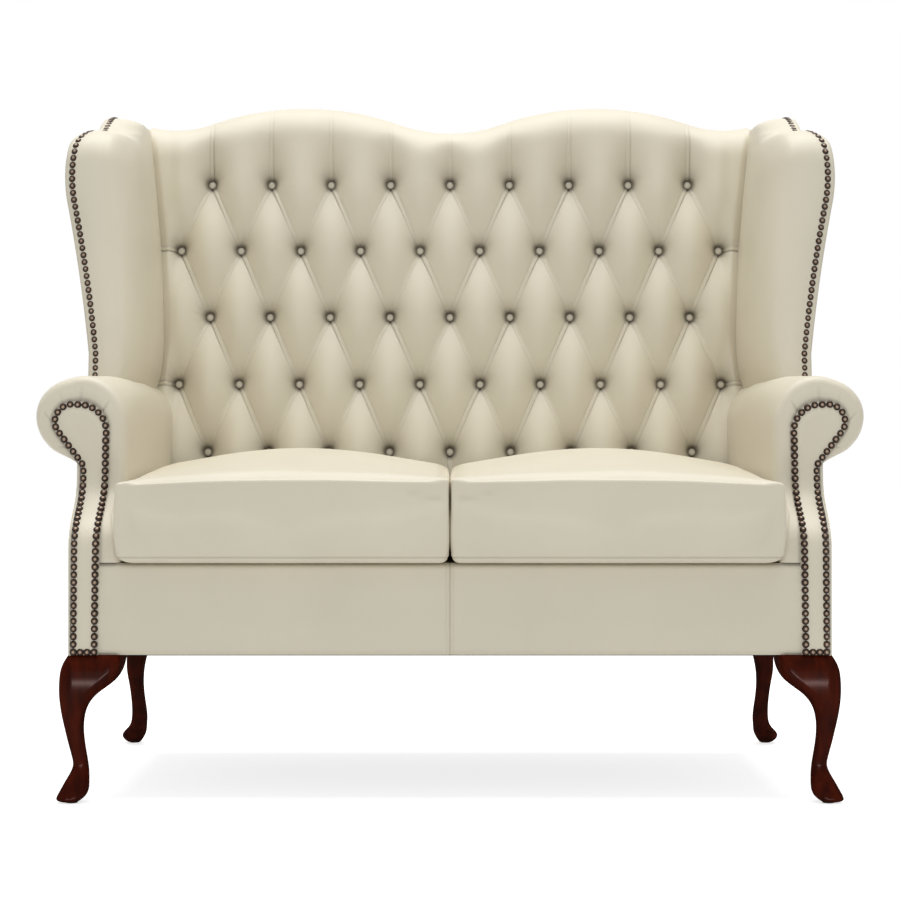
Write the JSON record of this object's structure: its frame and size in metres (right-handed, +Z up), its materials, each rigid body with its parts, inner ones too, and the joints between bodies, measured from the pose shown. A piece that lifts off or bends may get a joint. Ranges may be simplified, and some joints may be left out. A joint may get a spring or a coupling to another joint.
{
  "type": "wing settee",
  "caption": "High-back wing settee in cream leather with a deep-buttoned double-hump back, scroll arms, nail trim, loose seat cushions and cabriole legs.",
  "frame": {"origin": "middle of the footprint, on the floor", "axes": "+X to the right of a person facing the front, +Y towards the back, +Z up; the seat faces -Y"},
  "size_m": [1.288, 0.7764, 1.15],
  "materials": {
    "cream_leather": "satin, fine grain",
    "button_leather": "satin",
    "foam": "matt foam",
    "frame_hardwood": "sawn",
    "plywood": "sanded",
    "lining_board": "hardboard",
    "mahogany": "polished",
    "antique_brass": "antiqued",
    "spring_steel": "bright",
    "hessian": "woven",
    "dust_cloth": "spun cloth",
    "glide_plastic": "smooth"
  },
  "bodies": {
    "frame": {"arm_nails": "antique_brass", "back_foam": "foam", "back_upright": "frame_hardwood", "back_webbing": "hessian", "block_screws": "spring_steel", "centre_seat_rail": "frame_hardwood", "corner_blocks": "frame_hardwood", "crest_pad": "cream_leather", "crest_rail": "frame_hardwood", "dust_cover": "dust_cloth", "frame_dowels": "frame_hardwood", "front_border": "cream_leather", "front_left_leg": "mahogany", "front_right_leg": "mahogany", "front_seat_rail": "frame_hardwood", "glides": "glide_plastic", "left_arm_cover": "cream_leather", "left_arm_facing": "cream_leather", "left_arm_lining": "lining_board", "left_arm_pad": "foam", "left_arm_post": "frame_hardwood", "left_arm_rail": "frame_hardwood", "left_back_post": "frame_hardwood", "left_outside_arm": "cream_leather", "left_outside_wing": "cream_leather", "left_seat_rail": "frame_hardwood", "left_wing_board": "plywood", "left_wing_pad": "cream_leather", "leg_bolts": "spring_steel", "lower_back_rail": "frame_hardwood", "outside_back": "cream_leather", "rear_left_leg": "mahogany", "rear_right_leg": "mahogany", "rear_seat_rail": "frame_hardwood", "right_arm_cover": "cream_leather", "right_arm_facing": "cream_leather", "right_arm_lining": "lining_board", "right_arm_pad": "foam", "right_arm_post": "frame_hardwood", "right_arm_rail": "frame_hardwood", "right_back_post": "frame_hardwood", "right_outside_arm": "cream_leather", "right_outside_wing": "cream_leather", "right_seat_rail": "frame_hardwood", "right_wing_board": "plywood", "right_wing_pad": "cream_leather", "seat_deck_pad": "foam", "seat_hessian": "hessian", "seat_springs": "spring_steel", "spring_clips": "spring_steel", "tuft_buttons": "button_leather", "tufted_back_cover": "cream_leather", "wing_nails": "antique_brass"},
    "left_cushion": {"left_cushion_cover": "cream_leather", "left_cushion_core": "foam"},
    "right_cushion": {"right_cushion_cover": "cream_leather", "right_cushion_core": "foam"}
  },
  "joints": [
    {"name": "left_cushion_lift", "type": "slide", "parent": "frame", "child": "left_cushion", "axis": [0, 0, 1], "range_m": [0, 0.8]},
    {"name": "right_cushion_lift", "type": "slide", "parent": "frame", "child": "right_cushion", "axis": [0, 0, 1], "range_m": [0, 0.8]}
  ]
}
